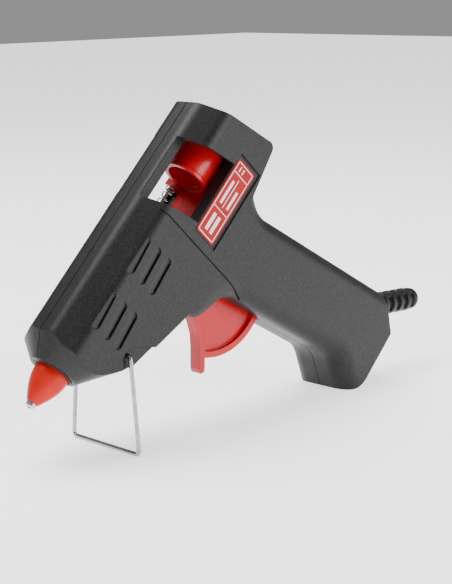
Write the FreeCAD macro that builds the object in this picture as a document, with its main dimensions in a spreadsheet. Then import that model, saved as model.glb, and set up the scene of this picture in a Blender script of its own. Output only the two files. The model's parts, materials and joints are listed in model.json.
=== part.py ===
"""Mini hot glue gun, standing on its wire stand.

Everything is drawn in the gun's own frame: X runs back along the top of the barrel from the
nozzle tip, Z points up out of the barrel's spine and Y = 0 is the parting plane. The pieces on
the glue stick's path are drawn in the barrel frame, whose X is the stick's axis. A last
placement stands the gun on the table, +Z up, nozzle down.
"""
import FreeCAD, Part
import math
import os
import Sketcher
from FreeCAD import Placement, Rotation, Vector

SIZES = {
    # whole gun
    "halfWidth": 14.0, "wall": 2.0, "lean": 45.9, "rake": 14.5,
    # barrel
    "barrelTop": 13.6, "spineFlat": 5.5, "flankDrop": 7.2, "spineRound": 5.0, "flankRound": 5.5,
    "noseFront": 14.0, "noseWide": 8.6, "noseTall": 8.3,
    "noseWideSlope": 1.32, "noseTallSlope": 0.66, "rearTop": 117.3, "rearLow": -18.4,
    "underStart": -12.8, "underSlope": 16.3, "webX": 104.0, "webZ": -22.6,
    # handle
    "handleFront": 79.9, "handleFrontZ": -62.3, "handleDepth": 31.0, "buttZ": -119.8,
    "gripFrontRound": 7.5, "gripBackRound": 5.5, "flareX": 82.5, "flareZ": -113.9,
    "facetLowX": 113.4, "facetHighZ": -106.4,
    # glue stick path
    "stickTilt": 2.2, "stickZ": 0.3, "stickBore": 3.85, "mouthR": 7.2, "inletR": 4.3,
    # window
    "windowFront": 81.0, "windowRear": 106.2, "windowLow": -7.7, "windowHigh": 13.2,
    "windowLowRight": -10.5, "spineHalf": 4.7, "spineLow": 9.0, "sillDepth": 5.5,
    # trigger and carriage
    "pivotX": 76.7, "pivotZ": -39.0, "pinR": 1.2, "runGap": 0.05, "triggerHalf": 2.4,
    "arcR": 25.6, "arcRib": 2.3, "webHalf": 0.9, "armLength": 26.0, "armRest": 10.0, "armTipR": 1.3,
    "slotGap": 0.6, "carriageR": 7.6, "carriageFront": 97.0, "carriageLength": 13.5,
    "gripR": 4.75, "gripBore": 3.65, "railGap": 0.35,
    "plateTop": -6.9, "plateThick": 1.6, "plateHalf": 7.2, "plateFront": 77.6, "forkGap": 0.35,
    # stand
    "standX": 31.6, "standZ": -13.0, "wireR": 0.75, "standFlare": 3.2, "legInset": 0.1,
    "standLeg": 33.2, "standGrip": 4.6, "standHoleGap": 0.08, "legRecess": 1.7,
    # heater
    "chamberR": 6.2, "chamberFront": 21.0, "chamberRear": 60.0, "stubR": 5.0, "stubEnd": 68.0,
    "nozzleTipR": 1.6, "coverBaseR": 6.15, "coverFront": 1.6, "coverRear": 16.0,
    "nozzleR": 4.6, "threadR": 4.0, "sleeveR": 6.3, "collarBore": 6.4, "seatGap": 0.05,
    "heaterLength": 20.0, "heaterWidth": 9.0, "heaterThick": 2.2, "plateSheet": 0.4,
    "filmThick": 0.2, "clipSheet": 0.6, "heaterZ": -9.3,
    "springR": 1.75, "springWireR": 0.3, "springY": 9.7, "springZ": -4.9, "springFront": 67.8,
    "springRear": 96.0, "leadR": 0.7, "crimpR": 1.6, "crimpLength": 9.0,
    # cord exit
    "reliefR": 3.9, "reliefRibR": 4.7, "cordR": 1.9, "reliefLength": 32.0, "reliefDown": 48.0,
    # small parts
    "screwR": 1.3, "screwHeadR": 2.4, "bossR": 2.7, "headBossR": 3.9, "pressGap": 0.02,
    "clearGap": 0.2, "labelLength": 30.5, "labelWidth": 10.0, "labelThick": 0.3,
    "labelRecess": 0.6,
    # louvres and grooves
    "ventLength": 14.0, "ventWidth": 3.4, "ventTilt": 4.7, "ventPitch": 5.95, "ventDepth": 0.6,
    "ventTop": 4.1,
    "grooveWidth": 0.45, "grooveDepth": 0.5, "seamWidth": 0.3, "seamDepth": 0.35,
}

doc = FreeCAD.newDocument("GlueGun")
sheet = doc.addObject("Spreadsheet::Sheet", "Sizes")
for row, (alias, number) in enumerate(SIZES.items(), start=1):
    sheet.set("A%d" % row, alias)
    sheet.set("B%d" % row, str(number))
    sheet.setAlias("B%d" % row, alias)
doc.recompute()


class Dim:
    """A number with the sheet expression that gives it."""

    def __init__(self, value, text):
        self.value = float(value)
        self.text = text

    def __add__(self, other):
        return joined(self, "+", other, self.value + dim(other).value)

    def __radd__(self, other):
        return dim(other) + self

    def __sub__(self, other):
        return joined(self, "-", other, self.value - dim(other).value)

    def __rsub__(self, other):
        return dim(other) - self

    def __mul__(self, other):
        return joined(self, "*", other, self.value * dim(other).value)

    def __rmul__(self, other):
        return dim(other) * self

    def __truediv__(self, other):
        return joined(self, "/", other, self.value / dim(other).value)

    def __neg__(self):
        return Dim(-self.value, "(0 - %s)" % self.text)


def dim(thing):
    """Turn a plain number into a Dim, and leave a Dim as it is."""
    if isinstance(thing, Dim):
        return thing
    return Dim(thing, "(%r)" % float(thing))


def joined(left, sign, right, value):
    return Dim(value, "(%s %s %s)" % (dim(left).text, sign, dim(right).text))


def size(alias):
    return Dim(SIZES[alias], "Sizes." + alias)


def sin(angle):
    return Dim(math.sin(math.radians(dim(angle).value)), "sin(%s * 1 deg)" % dim(angle).text)


def cos(angle):
    return Dim(math.cos(math.radians(dim(angle).value)), "cos(%s * 1 deg)" % dim(angle).text)


def tan(angle):
    return Dim(math.tan(math.radians(dim(angle).value)), "tan(%s * 1 deg)" % dim(angle).text)


def bind(thing, prop, amount):
    """Set a property, and tie it to the sheet where the amount comes from there."""
    amount = dim(amount)
    if "." not in prop and "[" not in prop:
        setattr(thing, prop, amount.value)
    if "Sizes." in amount.text:
        thing.setExpression(prop, amount.text)


def place(thing, x, y, z, rotation=Rotation()):
    """Put a helper solid at x, y, z, tied to the sheet."""
    thing.Placement = Placement(Vector(dim(x).value, dim(y).value, dim(z).value), rotation)
    for axis, amount in (("x", x), ("y", y), ("z", z)):
        if "Sizes." in dim(amount).text:
            thing.setExpression("Placement.Base." + axis, dim(amount).text)


# ---------------------------------------------------------------- sketches and bodies

def new_body(label):
    body = doc.addObject("PartDesign::Body", label)
    body.Label = label
    return body


def sketch_on(body, plane, offset=0):
    """A sketch on one of the body's own origin planes."""
    sketch = body.newObject("Sketcher::SketchObject", body.Label + "_sketch")
    support = [item for item in body.Origin.OriginFeatures if item.Role == plane][0]
    sketch.AttachmentSupport = [(support, "")]
    sketch.MapMode = "FlatFace"
    shift = dim(offset)
    sketch.AttachmentOffset = Placement(Vector(0, 0, shift.value), Rotation())
    if "Sizes." in shift.text:
        sketch.setExpression("AttachmentOffset.Base.z", shift.text)
    return sketch


def locate(sketch, geo, pos, across, along):
    """Fix a point's two coordinates, tied to the sheet."""
    for kind, axis, amount in (("DistanceX", -2, dim(across)), ("DistanceY", -1, dim(along))):
        if abs(amount.value) < 1e-9 and "Sizes." not in amount.text:
            sketch.addConstraint(Sketcher.Constraint("PointOnObject", geo, pos, axis))
            continue
        index = sketch.addConstraint(Sketcher.Constraint(kind, -1, 1, geo, pos, amount.value))
        bind(sketch, "Constraints[%d]" % index, amount)


def circle(sketch, across, along, radius):
    centre = Vector(dim(across).value, dim(along).value, 0)
    geo = sketch.addGeometry(Part.Circle(centre, Vector(0, 0, 1), dim(radius).value))
    locate(sketch, geo, 3, across, along)
    index = sketch.addConstraint(Sketcher.Constraint("Radius", geo, dim(radius).value))
    bind(sketch, "Constraints[%d]" % index, radius)


def corner_arc(before, at, after, radius):
    """The start, end and arc that round a corner, and whether the arc runs against the outline."""
    back = (before - at).normalize()
    onward = (after - at).normalize()
    half = math.acos(max(-1.0, min(1.0, back.dot(onward)))) / 2
    reach = radius / math.tan(half)
    start = at + back * reach
    end = at + onward * reach
    centre = at + (back + onward).normalize() * (radius / math.sin(half))
    turns_left = back.cross(onward).z < 0
    first, last = (start, end) if turns_left else (end, start)
    angle_a = math.atan2(first.y - centre.y, first.x - centre.x)
    angle_b = math.atan2(last.y - centre.y, last.x - centre.x)
    if angle_b < angle_a:
        angle_b += 2 * math.pi
    arc = Part.ArcOfCircle(Part.Circle(centre, Vector(0, 0, 1), radius), angle_a, angle_b)
    return start, end, arc, not turns_left


def outline(sketch, corners):
    """A closed outline through corners (across, along, radius), fully constrained."""
    points = [Vector(dim(c[0]).value, dim(c[1]).value, 0) for c in corners]
    radii = [dim(c[2]) if len(c) > 2 else dim(0) for c in corners]
    count = len(corners)
    starts, ends, arcs = [], [], []
    for i in range(count):
        if radii[i].value > 0:
            start, end, arc, against = corner_arc(
                points[i - 1], points[i], points[(i + 1) % count], radii[i].value)
            starts.append(start)
            ends.append(end)
            arcs.append((sketch.addGeometry(arc), against))
        else:
            starts.append(points[i])
            ends.append(points[i])
            arcs.append(None)
    lines = []
    for i in range(count):
        segment = Part.LineSegment(ends[i], starts[(i + 1) % count])
        lines.append(sketch.addGeometry(segment))
    for i in range(count):
        before, after = lines[i - 1], lines[i]
        if arcs[i] is None:
            sketch.addConstraint(Sketcher.Constraint("Coincident", before, 2, after, 1))
            locate(sketch, after, 1, corners[i][0], corners[i][1])
            continue
        geo, against = arcs[i]
        enter, leave = (2, 1) if against else (1, 2)
        sketch.addConstraint(Sketcher.Constraint("Tangent", before, 2, geo, enter))
        sketch.addConstraint(Sketcher.Constraint("Tangent", after, 1, geo, leave))
        index = sketch.addConstraint(Sketcher.Constraint("Radius", geo, radii[i].value))
        bind(sketch, "Constraints[%d]" % index, radii[i])
        point = sketch.addGeometry(Part.Point(points[i]), True)
        locate(sketch, point, 1, corners[i][0], corners[i][1])
        sketch.addConstraint(Sketcher.Constraint("PointOnObject", point, 1, before))
        sketch.addConstraint(Sketcher.Constraint("PointOnObject", point, 1, after))


def pad(body, sketch, length, both_sides=True, backwards=False):
    feature = body.newObject("PartDesign::Pad", body.Label + "_pad")
    feature.Profile = sketch
    bind(feature, "Length", length)
    feature.Midplane = both_sides
    feature.Reversed = backwards
    sketch.Visibility = False
    return feature


def revolve(body, corners):
    """A solid of revolution about the body's X axis, from an outline of (x, radius) corners."""
    sketch = sketch_on(body, "XY_Plane")
    outline(sketch, corners)
    feature = body.newObject("PartDesign::Revolution", body.Label + "_turned")
    feature.Profile = sketch
    feature.ReferenceAxis = (sketch, ["H_Axis"])
    feature.Angle = 360
    return feature


def edges_where(shape, test):
    names = []
    for number, edge in enumerate(shape.Edges, start=1):
        middle = edge.valueAt((edge.FirstParameter + edge.LastParameter) / 2)
        if test(middle, edge):
            names.append("Edge%d" % number)
    return names


def fillet(body, test, radius):
    """Round the edges of the body's last feature that pass the test."""
    doc.recompute()
    base = body.Tip
    feature = body.newObject("PartDesign::Fillet", body.Label + "_round")
    feature.Base = (base, edges_where(base.Shape, test))
    bind(feature, "Radius", radius)
    return feature


# ---------------------------------------------------------------- plain solids and booleans

def box(label, x0, x1, y0, y1, z0, z1):
    thing = doc.addObject("Part::Box", label)
    bind(thing, "Length", dim(x1) - x0)
    bind(thing, "Width", dim(y1) - y0)
    bind(thing, "Height", dim(z1) - z0)
    place(thing, x0, y0, z0)
    return thing


ALONG_X = Rotation(Vector(0, 1, 0), 90)
ALONG_Y = Rotation(Vector(1, 0, 0), -90)


def cylinder(label, radius, length, x, y, z, rotation):
    thing = doc.addObject("Part::Cylinder", label)
    bind(thing, "Radius", radius)
    bind(thing, "Height", length)
    place(thing, x, y, z, rotation)
    return thing


def fused(label, pieces):
    thing = doc.addObject("Part::MultiFuse", label)
    thing.Shapes = pieces
    thing.Refine = True
    return thing


def common(label, pieces):
    thing = doc.addObject("Part::MultiCommon", label)
    thing.Shapes = pieces
    return thing


def cut(label, base, tools):
    thing = doc.addObject("Part::Cut", label)
    thing.Base = base
    thing.Tool = tools[0] if len(tools) == 1 else fused(label + "_tools", tools)
    return thing


# ---------------------------------------------------------------- frames

standing = Placement(Vector(), Rotation(Vector(0, 1, 0), -SIZES["lean"]))
barrelFrame = Placement(Vector(0, 0, SIZES["stickZ"]), Rotation(Vector(0, 1, 0), SIZES["stickTilt"]))
nodes = []


def node(thing, label, frame=Placement()):
    """Name a finished piece and remember which frame it was drawn in."""
    thing.Label = label
    nodes.append((thing, label, frame))
    return thing


def barrel_tool(thing):
    """Move a helper solid drawn in the barrel frame into the gun frame."""
    for axis in ("x", "y", "z"):
        thing.setExpression("Placement.Base." + axis, None)
    thing.Placement = barrelFrame.multiply(thing.Placement)
    return thing


# ---------------------------------------------------------------- housing

halfWidth = size("halfWidth")
wall = size("wall")
rake = size("rake")


def rear_face(z, inset=0):
    """X of the raked rear face at a height."""
    return size("rearTop") + (size("barrelTop") - z) * tan(rake) - dim(inset) / cos(rake)


def underside(x, inset=0):
    """Z of the barrel's sloping underside."""
    drop = (dim(x) - size("noseFront")) * tan(size("underSlope"))
    return size("underStart") - drop + dim(inset) / cos(size("underSlope"))


def handle_front(z, inset=0):
    return size("handleFront") + (size("handleFrontZ") - z) * tan(rake) + dim(inset) / cos(rake)


def handle_back(z, inset=0):
    return handle_front(z) + (size("handleDepth") - inset) / cos(rake)


def barrel_section(label, inset, top):
    """The barrel's cross-section, drawn along its whole length: spine, sloping flanks, sides."""
    body = new_body(label)
    inset = dim(inset)
    side = halfWidth - inset
    turn = math.degrees(math.atan2(SIZES["flankDrop"], SIZES["halfWidth"] - SIZES["spineFlat"]))
    spine = size("spineFlat") - inset * tan(turn / 2)
    flank = top - size("flankDrop") + inset - inset * tan((90 - turn) / 2)
    low = -70
    sketch = sketch_on(body, "YZ_Plane")
    outline(sketch, [
        (-side, low), (side, low), (side, flank, size("flankRound") - inset),
        (spine, top, size("spineRound") - inset), (-spine, top, size("spineRound") - inset),
        (-side, flank, size("flankRound") - inset)])
    pad(body, sketch, 160, both_sides=False)
    return body


def barrel_block(label, inset):
    """The barrel's outer form, drawn smaller all round by inset."""
    body = new_body(label + "_side")
    top = size("barrelTop") - inset
    low = size("rearLow") + inset
    sketch = sketch_on(body, "XZ_Plane")
    outline(sketch, [
        (size("noseFront"), top), (rear_face(top, inset), top), (rear_face(low, inset), low, 2.5),
        (size("webX"), size("webZ") + inset), (70, underside(70, inset)),
        (size("noseFront"), underside(size("noseFront"), inset))])
    pad(body, sketch, (halfWidth - inset) * 2)
    return common(label, [body, barrel_section(label + "_section", inset, top)])


def nose_cone(label, shift):
    """The elliptical taper that shapes the nose, moved back by shift."""
    rings = []
    for reach in (0, 120):
        ring = doc.addObject("Part::Ellipse", "%s_ring_%d" % (label, reach))
        bind(ring, "MajorRadius", size("noseWide") + size("noseWideSlope") * reach)
        bind(ring, "MinorRadius", size("noseTall") + size("noseTallSlope") * reach)
        place(ring, size("noseFront") + shift + reach, 0, 0, Rotation(Vector(1, 1, 1), 120))
        rings.append(ring)
    cone = doc.addObject("Part::Loft", label)
    cone.Sections = rings
    cone.Solid = True
    cone.Ruled = True
    return cone


def handle_block(label, inset):
    """The grip's outer form, drawn smaller all round by inset."""
    body = new_body(label)
    inset = dim(inset)
    sketch = sketch_on(body, "XZ_Plane")
    flare = (size("flareX") + inset * 1.25, size("flareZ") + inset * 0.2)
    facetX = size("facetLowX") - inset * 0.45
    outline(sketch, [
        (dim(51) + inset, -12), (dim(59.5) + inset, dim(-33.6) + inset, 8),
        (handle_front(-38.5, inset), dim(-38.5) + inset, 10),
        (handle_front(-100, inset), -100, 12), flare,
        (dim(87) + inset * 0.6, size("buttZ") + inset, dim(11.5) - inset * 1.5),
        (facetX, size("buttZ") + inset),
        (handle_back(size("facetHighZ"), inset), size("facetHighZ") + inset * 0.2),
        (handle_back(-24, inset), dim(-24) + inset, 13), (dim(121) - inset, dim(-18.5) + inset),
        (dim(121) - inset, -12)])
    pad(body, sketch, (halfWidth - inset) * 2)
    side = (halfWidth - inset).value
    middle_line = (handle_front(0) + handle_back(0)).value / 2
    slope = math.tan(math.radians(SIZES["rake"]))

    def on_side(middle):
        return abs(abs(middle.y) - side) < 0.01 and middle.z < -12.01

    def front_edge(middle, edge):
        ahead = middle.x < middle_line - middle.z * slope
        return on_side(middle) and ahead and middle.z > flare[1].value + 0.05

    def back_edge(middle, edge):
        behind = middle.x > middle_line - middle.z * slope
        above = middle.z > SIZES["facetHighZ"] + inset.value * 0.2 + 0.1
        return on_side(middle) and behind and above and middle.x < 120.9 - inset.value

    fillet(body, front_edge, size("gripFrontRound") - inset)
    fillet(body, back_edge, size("gripBackRound") - inset)
    return body


def side_prism(label, corners, half):
    body = new_body(label)
    sketch = sketch_on(body, "XZ_Plane")
    outline(sketch, corners)
    pad(body, sketch, dim(half) * 2)
    return body


skin = fused("skin", [
    common("barrel_skin", [barrel_block("barrel_outer", 0), nose_cone("nose_outer", 0)]),
    handle_block("handle_outer", 0)])
cavity = fused("cavity", [
    common("barrel_space", [barrel_block("barrel_inner", wall), nose_cone("nose_inner", 3.2)]),
    handle_block("handle_inner", wall)])
shell = cut("shell", skin, [cavity])

# where the cord's relief leaves the facet at the end of the grip
facetLow = Vector(SIZES["facetLowX"], 0, SIZES["buttZ"])
facetHigh = Vector(handle_back(size("facetHighZ")).value, 0, SIZES["facetHighZ"])
reliefFrame = Placement(facetLow * 0.45 + facetHigh * 0.55,
                        Rotation(Vector(0, 1, 0), SIZES["reliefDown"]))

SCREWS = [(50.5, -19.2, 8.4, 9.2), (69.5, 8.4, 4.4, 6.8), (115.0, 7.0, 5.4, 7.8),
          (101.0, -60.0, 8.4, 9.2), (93.5, -109.0, 8.4, 9.2)]


def window_x(edge, z):
    return size(edge) - dim(z) * tan(rake)


def inner_ribs():
    """Bosses, sills and the spine rib, as one list of solids trimmed to the skin."""
    ribs = []
    for number, (x, z, floor, tail) in enumerate(SCREWS):
        ribs.append(cylinder("boss_%d" % number, size("bossR"), halfWidth * 2 - 1, x,
                             -halfWidth + 0.5, z, ALONG_Y))
        ribs.append(cylinder("head_boss_%d" % number, size("headBossR"), halfWidth - floor + 1, x,
                             floor - 1.5, z, ALONG_Y))
    ribs.append(box("spine_rib", 73, 114, -size("spineHalf"), size("spineHalf"),
                    size("spineLow"), 12.5))
    ribs.append(box("sill_left", 79, 111, -halfWidth + 1, -halfWidth + size("sillDepth"),
                    size("windowLow") - 2.0, size("windowLow")))
    ribs.append(barrel_tool(box("front_rib", 24.2, 25.8, -halfWidth + 0.5, halfWidth - 0.5, -20,
                                14)))
    ribs.append(barrel_tool(box("rear_rib", 57.5, 59.1, -halfWidth + 0.5, halfWidth - 0.5, -7.5,
                                14)))
    ribs.append(barrel_tool(box("spring_seat", size("springFront") - 2.3, size("springFront"),
                                size("springY") - 2.3, halfWidth - 1, size("springZ") - 2.6,
                                size("springZ") + 2.4)))
    for side in (-1, 1):
        inner = size("triggerHalf") + size("slotGap") + 0.6
        start = -halfWidth + 1 if side < 0 else inner
        ribs.append(cylinder("pivot_boss_%d" % (side + 1), size("pinR") + 1.8,
                             halfWidth - 1 - inner, size("pivotX"), start, size("pivotZ"), ALONG_Y))
        stand_start = -halfWidth + 1 if side < 0 else halfWidth - 5.5
        ribs.append(cylinder("stand_boss_%d" % (side + 1), 3.6, 4.5, size("standX"), stand_start,
                             size("standZ"), ALONG_Y))
        backing = halfWidth - size("legRecess") - 1.8
        y0, y1 = (-halfWidth + 0.5, -backing) if side < 0 else (backing, halfWidth - 0.5)
        ribs.append(box("leg_backing_%d" % (side + 1), 20, 43, y0, y1, -23, -9.5))
        rail = size("plateTop") - size("plateThick") - size("railGap")
        y0, y1 = (-halfWidth + 1, -5.6) if side < 0 else (5.6, halfWidth - 1)
        ribs.append(barrel_tool(box("rail_%d" % (side + 1), 70, 114, y0, y1, rail - 1.8, rail)))
        if side < 0:
            for end in (-4.7, 4.7):
                post = cylinder("clamp_post_%d" % (end > 0), 2.2, halfWidth - 1, 0, 0, 0,
                                ALONG_Y)
                post.Placement = reliefFrame.multiply(
                    Placement(Vector(-10, 1 - SIZES["halfWidth"], end), ALONG_Y))
                ribs.append(post)
    return ribs


def vent_tools(side):
    """Six louvres on one side: a sloping stadium scoop and a slit along its lower edge."""
    tools = []
    for column, start in enumerate((30.0, 52.2)):
        for line in range(3):
            low_z = SIZES["ventTop"] - line * SIZES["ventPitch"]
            name = "vent_%d_%d_%d" % (side + 1, column, line)
            scoop = new_body(name)
            sketch = sketch_on(scoop, "XY_Plane")
            end = size("ventLength")
            width = size("ventWidth")
            round_end = width / 2 - 0.05
            outline(sketch, [(0, 0, round_end), (end, 0, round_end), (end, width, round_end),
                             (0, width, round_end)])
            pad(scoop, sketch, 6, both_sides=False)
            tilt = Rotation(Vector(0, 1, 0), -SIZES["ventTilt"])
            lay = Rotation(Vector(1, 0, 0), 90 if side < 0 else -90)
            sink = Rotation(Vector(1, 0, 0), 10.2 if line else -7)
            turn = tilt.multiply(lay).multiply(sink if side < 0 else sink.inverted())
            reach = SIZES["halfWidth"] - SIZES["ventDepth"]
            if side < 0:
                scoop.Placement = Placement(Vector(start, -reach, low_z), turn)
            else:
                base = turn.multVec(Vector(0, SIZES["ventWidth"], 0))
                scoop.Placement = Placement(Vector(start, reach, low_z) - base, turn)
            tools.append(scoop)
            slit = box(name + "_slit", 0, size("ventLength") - 3.0, 0, 4, 0, 0.45)
            slit_y = -SIZES["halfWidth"] - 0.5 if side < 0 else SIZES["halfWidth"] - 3.5
            slit.Placement = Placement(Vector(start + 1.5, slit_y, low_z + 0.15), tilt)
            tools.append(slit)
    return tools


def groove_tools():
    """Shallow grooves: one across the sides, square to the barrel, and one along the parting line."""
    slab = box("groove_slab", 76.5 - size("grooveWidth") / 2, 76.5 + size("grooveWidth") / 2,
               -halfWidth - 1, halfWidth + 1, -45, 8.2)
    inside = fused("groove_core", [barrel_block("groove_barrel", size("grooveDepth")),
                                   handle_block("groove_handle", size("grooveDepth"))])
    plane = box("seam_slab", 10, 130, -size("seamWidth") / 2, size("seamWidth") / 2, -125, 18)
    barrel_core = common("seam_barrel", [barrel_block("seam_barrel_block", size("seamDepth")),
                                         nose_cone("seam_nose", size("seamDepth") * 1.6)])
    solid = fused("seam_core", [barrel_core, handle_block("seam_handle", size("seamDepth"))])
    return [cut("groove", slab, [inside]), cut("seam", plane, [solid])]


def shared_cuts():
    """Openings that both halves share."""
    tools = groove_tools()
    high = size("windowHigh")
    low = size("windowLow")
    window = side_prism("window_block", [
        (window_x("windowFront", low), low, 0.8), (window_x("windowRear", low), low, 0.8),
        (window_x("windowRear", high), high), (window_x("windowFront", high), high)],
        halfWidth + 2)
    spine = box("spine_core", 60, 125, -size("spineHalf"), size("spineHalf"), size("spineLow"), 16)
    tools.append(cut("window_cut", window, [spine]))
    lower = size("windowLowRight")
    deep = side_prism("window_right", [
        (window_x("windowFront", lower), lower, 0.8), (window_x("windowRear", lower), lower, 0.8),
        (window_x("windowRear", low + 2), low + 2), (window_x("windowFront", low + 2), low + 2)],
        halfWidth + 2)
    beyond = box("window_right_side", 60, 125, halfWidth - 2.6, halfWidth + 3, -20, 5)
    tools.append(common("window_right_cut", [deep, beyond]))
    chamber = cylinder("chamber_hole", size("chamberR") + size("seatGap"), 60, 10, 0, 0, ALONG_X)
    tools.append(barrel_tool(chamber))
    tools.append(barrel_tool(cylinder("mouth", size("mouthR"), 12, 8, 0, 0, ALONG_X)))
    tools.append(barrel_tool(cylinder("inlet", size("inletR"), 20, 112, 0, 0, ALONG_X)))
    slot_half = size("triggerHalf") + size("slotGap")
    reach = size("arcR") + 1.6
    sweep = cylinder("slot_sweep", reach, slot_half * 2, size("pivotX"), -slot_half,
                     size("pivotZ"), ALONG_Y)
    limit = box("slot_limit", 58.5, 112, -slot_half - 1, slot_half + 1, -80, -18)
    tools.append(common("trigger_slot", [sweep, limit]))
    relief_hole = cylinder("relief_hole", size("reliefR") + 0.25, 16, 0, 0, 0, ALONG_X)
    relief_hole.Placement = reliefFrame.multiply(Placement(Vector(-8, 0, 0), ALONG_X))
    tools.append(relief_hole)
    tools.append(cylinder("pivot_hole", size("pinR"), halfWidth * 2 - 5, size("pivotX"),
                          -halfWidth + 2.5, size("pivotZ"), ALONG_Y))
    tools.append(cylinder("stand_hole", size("wireR") + size("standHoleGap"), halfWidth * 2 + 4,
                          size("standX"), -halfWidth - 2, size("standZ"), ALONG_Y))
    for side in (-1, 1):
        tools += vent_tools(side)
        name = "leg_recess_%d" % (side + 1)
        recess = new_body(name)
        sketch = sketch_on(recess, "XZ_Plane")
        x = size("standX")
        z = size("standZ")
        outline(sketch, [(x - 2.2, z + 2.4, 2.1), (x + 2.2, z + 2.4, 2.1), (x + 9.4, -21.6),
                         (x - 9.6, -19.0)])
        pad(recess, sketch, 4, both_sides=False)
        near = -SIZES["halfWidth"] + SIZES["legRecess"]
        recess.Placement = Placement(Vector(0, near if side < 0 else -near + 4, 0), Rotation())
        tools.append(recess)
    return tools


def screw_cuts():
    """Clearance through the right half, a counterbore for the head and a pilot in the left."""
    tools = []
    for number, (x, z, floor, tail) in enumerate(SCREWS):
        tools.append(cylinder("clearance_%d" % number, size("screwR") + 0.2, 20, x, 0, z, ALONG_Y))
        tools.append(cylinder("head_room_%d" % number, size("screwHeadR") + 0.2, 12, x, floor, z,
                              ALONG_Y))
        tools.append(cylinder("pilot_%d" % number, size("screwR"), tail, x, -tail, z, ALONG_Y))
    for end in (-4.7, 4.7):
        pilot = cylinder("clamp_pilot_%d" % (end > 0), 0.9, 7, 0, 0, 0, ALONG_Y)
        pilot.Placement = reliefFrame.multiply(Placement(Vector(-10, -6.5, end), ALONG_Y))
        tools.append(pilot)
    return tools


ribs = common("ribs", [skin, fused("rib_solids", inner_ribs())])
ribbed = fused("ribbed", [shell, ribs])
opened = cut("opened", ribbed, shared_cuts())

labelRecess = box("label_recess", 80.0, 113.0, -halfWidth - 1, -halfWidth + size("labelRecess"),
                  -20.0, -7.6)
leftSpace = box("left_space", 0, 150, -20, 0, -130, 30)
rightSpace = box("right_space", 0, 150, 0, 20, -130, 30)
screwTools = screw_cuts()
openedScrewed = cut("opened_screwed", opened, screwTools)
leftHalf = common("left_half", [openedScrewed, leftSpace])
node(cut("housing_left_solid", leftHalf, [labelRecess]), "housing_left")
node(common("housing_right_solid", [openedScrewed, rightSpace]), "housing_right")

# ---------------------------------------------------------------- along the glue stick

seatGap = size("seatGap")

nozzle = new_body("nozzle")
revolve(nozzle, [
    (0, 0.8), (0, size("nozzleTipR") - 0.3), (0.4, size("nozzleTipR")), (2, 1.8), (8, 3.6),
    (10, size("nozzleR")), (17, size("nozzleR")), (17, size("threadR")), (25, size("threadR")),
    (25, 2.6), (12, 2.6), (3, 0.8)])
node(nozzle, "nozzle", barrelFrame)

cover = new_body("nozzle_cover")
revolve(cover, [
    (size("coverFront"), 1.85), (size("coverFront") + 0.3, 2.2, 0.3), (6.2, 4.8, 10),
    (12, size("coverBaseR"), 14), (size("coverRear"), size("coverBaseR")),
    (size("coverRear"), size("nozzleR") + seatGap), (10, size("nozzleR") + seatGap),
    (8, seatGap * 1.2 + 3.6), (2, seatGap * 1.2 + 1.8)])
node(cover, "nozzle_cover", barrelFrame)

collar = new_body("nozzle_collar")
revolve(collar, [
    (13.6, size("collarBore")), (13.6, size("mouthR") - seatGap - 0.25),
    (13.9, size("mouthR") - seatGap), (17.6, size("mouthR") - seatGap), (17.6, 7.8), (19, 7.8),
    (19, size("collarBore"))])
node(collar, "nozzle_collar", barrelFrame)

chamberR = size("chamberR")
barrelTube = new_body("chamber_tube")
revolve(barrelTube, [
    (size("chamberFront"), size("threadR") + seatGap), (size("chamberFront"), chamberR),
    (size("chamberRear"), chamberR), (size("chamberRear"), size("stubR")),
    (size("stubEnd"), size("stubR")), (size("stubEnd"), size("stickBore")),
    (31, size("stickBore")), (28, 2.6), (25.3, 2.6), (25.3, size("threadR") + seatGap)])
heaterBlock = box("heater_block", 28, 56, -7, 7, -13, -4)
stickSpace = cylinder("stick_space", size("stickBore") + 0.6, 40, 24, 0, 0, ALONG_X)
blockCore = cut("heater_block_core", heaterBlock, [stickSpace])
slotHalf = size("heaterWidth") / 2 + size("filmThick") + 0.5
slotTop = size("heaterThick") / 2 + size("plateSheet") + size("filmThick") + 0.1
heaterSlot = box("heater_slot", 27, 57, -slotHalf, slotHalf, size("heaterZ") - slotTop,
                 size("heaterZ") + slotTop)
chamber = cut("heating_chamber_solid", fused("chamber_body", [barrelTube, blockCore]), [heaterSlot])
node(chamber, "heating_chamber", barrelFrame)

heaterMid = 42
heaterHalf = size("heaterLength") / 2
heaterLow = size("heaterZ") - size("heaterThick") / 2
heaterHigh = size("heaterZ") + size("heaterThick") / 2
heater = side_prism("ptc_heater", [
    (heaterMid - heaterHalf, heaterLow), (heaterMid + heaterHalf, heaterLow),
    (heaterMid + heaterHalf, heaterHigh), (heaterMid - heaterHalf, heaterHigh)],
    size("heaterWidth") / 2)
node(heater, "ptc_heater", barrelFrame)

plates = []
for side in (-1, 1):
    face = size("heaterThick") / 2
    z0 = size("heaterZ") + face if side > 0 else size("heaterZ") - face - size("plateSheet")
    plates.append(box("electrode_%d" % (side + 1), heaterMid - heaterHalf, heaterMid + heaterHalf,
                      -4, 4, z0, z0 + size("plateSheet")))
    plates.append(box("electrode_tab_%d" % (side + 1), 51, 60, side * 3 - 1, side * 3 + 1, z0,
                      z0 + size("plateSheet")))
node(fused("electrode_plates_solid", plates), "electrode_plates", barrelFrame)

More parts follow.
